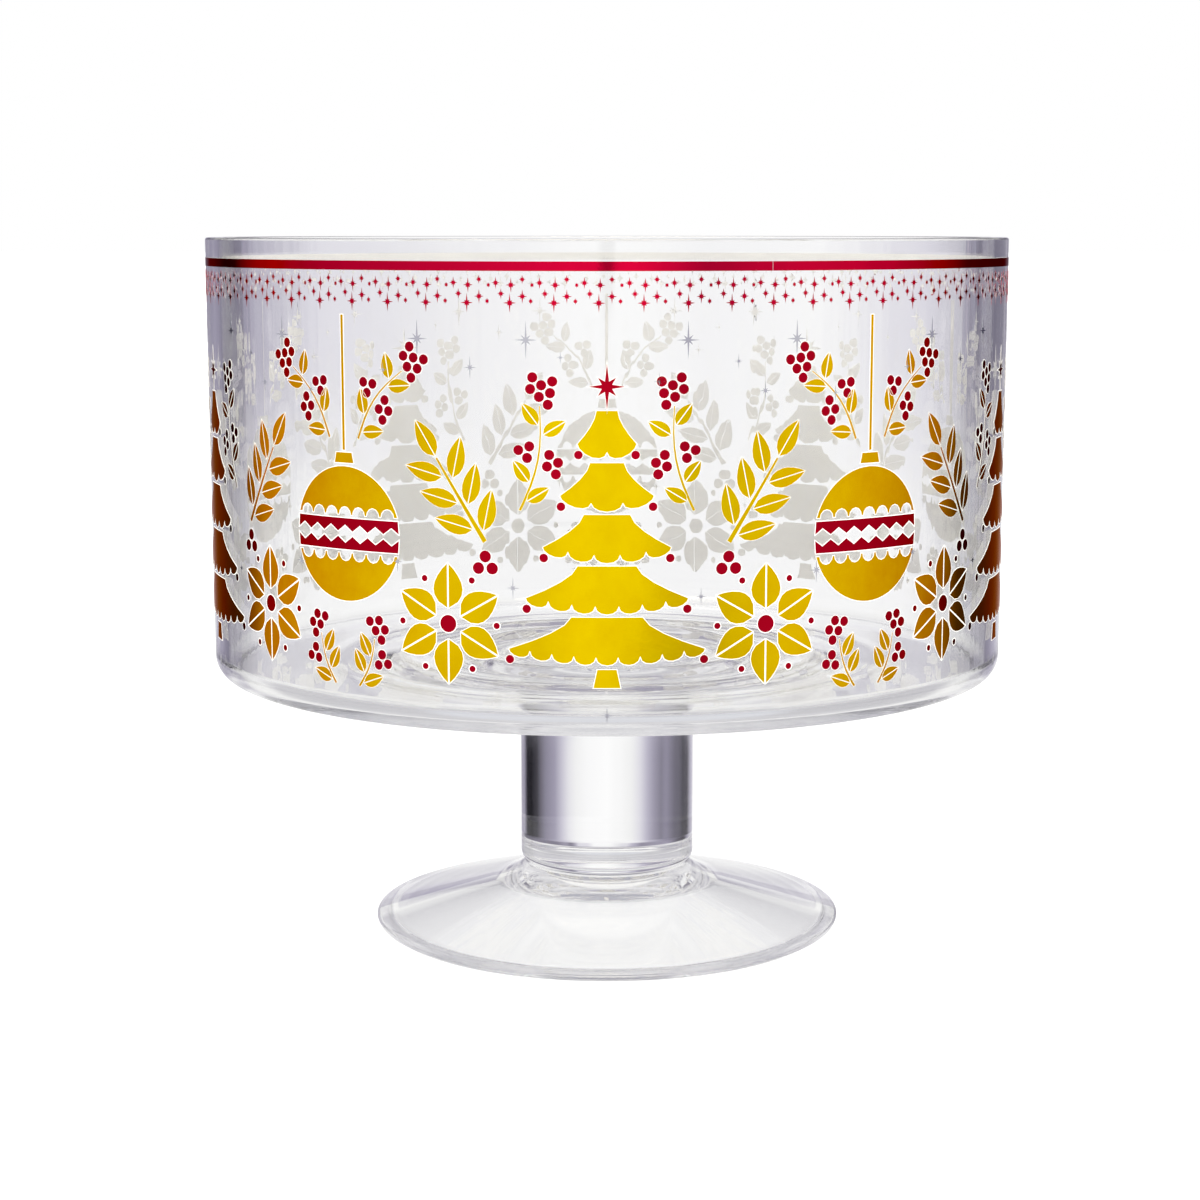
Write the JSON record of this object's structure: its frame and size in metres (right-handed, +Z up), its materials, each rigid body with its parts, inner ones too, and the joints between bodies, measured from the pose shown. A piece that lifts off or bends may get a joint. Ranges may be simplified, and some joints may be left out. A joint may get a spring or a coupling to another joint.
{
  "type": "trifle bowl",
  "caption": "Footed clear glass trifle bowl: straight-sided bowl on a solid stem and spreading foot, with gold, red and silver foil ornament round its wall.",
  "frame": {"origin": "on the table, under the middle of the foot", "axes": "+Z up along the bowl's axis; -Y faces the viewer of the picture"},
  "size_m": [0.2158, 0.2154, 0.1899],
  "materials": {
    "clear_glass": "clear, fire polished",
    "gold_foil": "mirror-bright hot foil",
    "red_foil": "mirror-bright hot foil",
    "silver_foil": "mirror-bright hot foil"
  },
  "bodies": {
    "root": {"bowl": "clear_glass", "stem": "clear_glass", "foot": "clear_glass", "rim_stripe": "red_foil", "border_stars": "red_foil", "tree_foils": "gold_foil", "tree_top_stars": "red_foil", "bauble_foils": "gold_foil", "bauble_bands": "red_foil", "flower_petals": "gold_foil", "flower_beads": "red_foil", "twig_foils": "gold_foil", "twig_beads": "red_foil", "small_stars": "silver_foil"}
  },
  "joints": []
}
